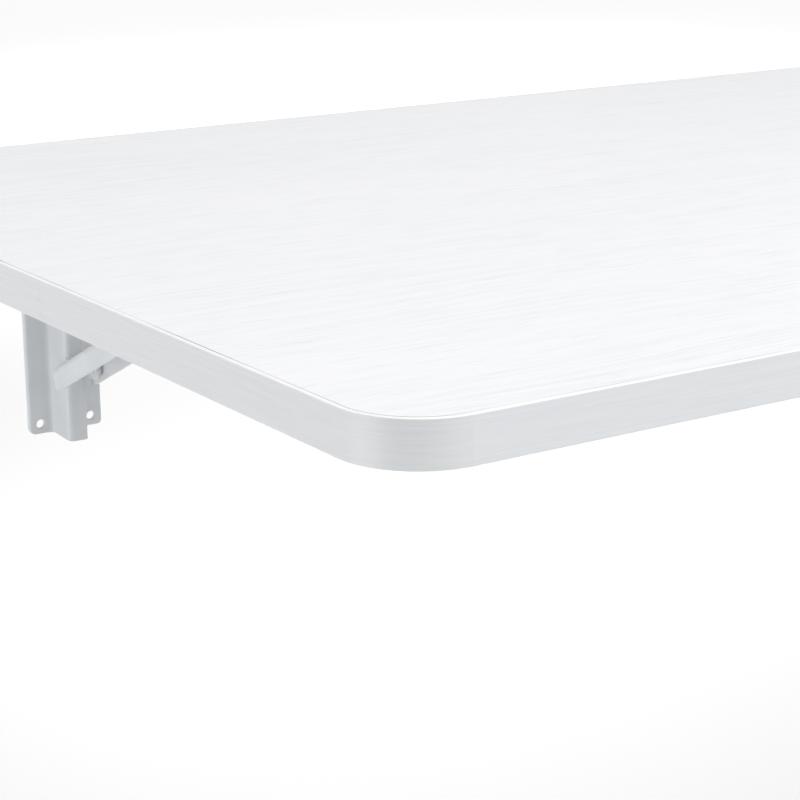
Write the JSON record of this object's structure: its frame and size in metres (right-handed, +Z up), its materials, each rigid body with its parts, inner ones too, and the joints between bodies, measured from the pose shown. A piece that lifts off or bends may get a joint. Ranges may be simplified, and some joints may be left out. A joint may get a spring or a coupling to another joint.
{
  "type": "wall mounted drop leaf table",
  "caption": "Rounded rectangular leaf on two folding sheet steel wall brackets; the leaf folds down flat to the wall while struts and slide pins follow.",
  "frame": {"origin": "on the wall plane, midway between the two wall rails, at mid height of their screw holes", "axes": "+X right along the wall, -Y out into the room, +Z up"},
  "size_m": [1, 0.601, 0.1765],
  "materials": {
    "white_melamine": "satin, faint wood grain",
    "white_edge_band": "satin",
    "chipboard": "raw, hidden",
    "white_powder_coat": "satin powder coat",
    "zinc_steel": "zinc plated",
    "nylon": "moulded",
    "spring_steel": "bright wire"
  },
  "bodies": {
    "wall_frame": {"left_wall_rail": "white_powder_coat", "left_hinge_clevis": "white_powder_coat", "left_strut_clevis": "white_powder_coat", "right_wall_rail": "white_powder_coat", "right_hinge_clevis": "white_powder_coat", "right_strut_clevis": "white_powder_coat"},
    "leaf": {"table_core": "chipboard", "top_laminate": "white_melamine", "bottom_laminate": "white_melamine", "edge_band": "white_edge_band", "left_shelf_arm": "white_powder_coat", "left_hinge_pin": "zinc_steel", "left_arm_screws": "zinc_steel", "right_shelf_arm": "white_powder_coat", "right_hinge_pin": "zinc_steel", "right_arm_screws": "zinc_steel"},
    "left_strut": {"left_strut": "white_powder_coat", "left_strut_pin": "white_powder_coat"},
    "left_slider": {"left_slide_pin": "zinc_steel", "left_slide_bush_a": "nylon", "left_slide_bush_b": "nylon"},
    "left_lever": {"left_release_lever": "zinc_steel", "left_lever_spring": "spring_steel"},
    "right_strut": {"right_strut": "white_powder_coat", "right_strut_pin": "white_powder_coat"},
    "right_slider": {"right_slide_pin": "zinc_steel", "right_slide_bush_a": "nylon", "right_slide_bush_b": "nylon"},
    "right_lever": {"right_release_lever": "zinc_steel", "right_lever_spring": "spring_steel"}
  },
  "joints": [
    {"name": "leaf_fold", "type": "hinge", "parent": "wall_frame", "child": "leaf", "pos_m": [0, -0.0292, 0.078], "axis": [1, 0, 0], "range_deg": [0, 90]},
    {"name": "left_strut_swing", "type": "hinge", "parent": "wall_frame", "child": "left_strut", "pos_m": [-0.34, -0.0292, -0.0233], "axis": [1, 0, 0], "range_deg": [0, 116]},
    {"name": "left_pin_slide", "type": "slide", "parent": "leaf", "child": "left_slider", "axis": [0, -1, 0], "range_m": [0, 0.1247]},
    {"name": "left_lever_release", "type": "hinge", "parent": "left_slider", "child": "left_lever", "pos_m": [-0.34, -0.2369, 0.078], "axis": [1, 0, 0], "range_deg": [0, 12], "stiffness_Nm_per_rad": 0.3, "springref_deg": -5.73},
    {"name": "right_strut_swing", "type": "hinge", "parent": "wall_frame", "child": "right_strut", "pos_m": [0.34, -0.0292, -0.0233], "axis": [1, 0, 0], "range_deg": [0, 116]},
    {"name": "right_pin_slide", "type": "slide", "parent": "leaf", "child": "right_slider", "axis": [0, -1, 0], "range_m": [0, 0.1247]},
    {"name": "right_lever_release", "type": "hinge", "parent": "right_slider", "child": "right_lever", "pos_m": [0.34, -0.2369, 0.078], "axis": [1, 0, 0], "range_deg": [0, 12], "stiffness_Nm_per_rad": 0.3, "springref_deg": -5.73}
  ],
  "couplings": [
    {"joint": "left_strut_swing", "follows": "leaf_fold", "ratio": 1.2889},
    {"joint": "left_pin_slide", "follows": "leaf_fold", "m_per_rad": 0.079378},
    {"joint": "right_strut_swing", "follows": "leaf_fold", "ratio": 1.2889},
    {"joint": "right_pin_slide", "follows": "leaf_fold", "m_per_rad": 0.079378}
  ]
}
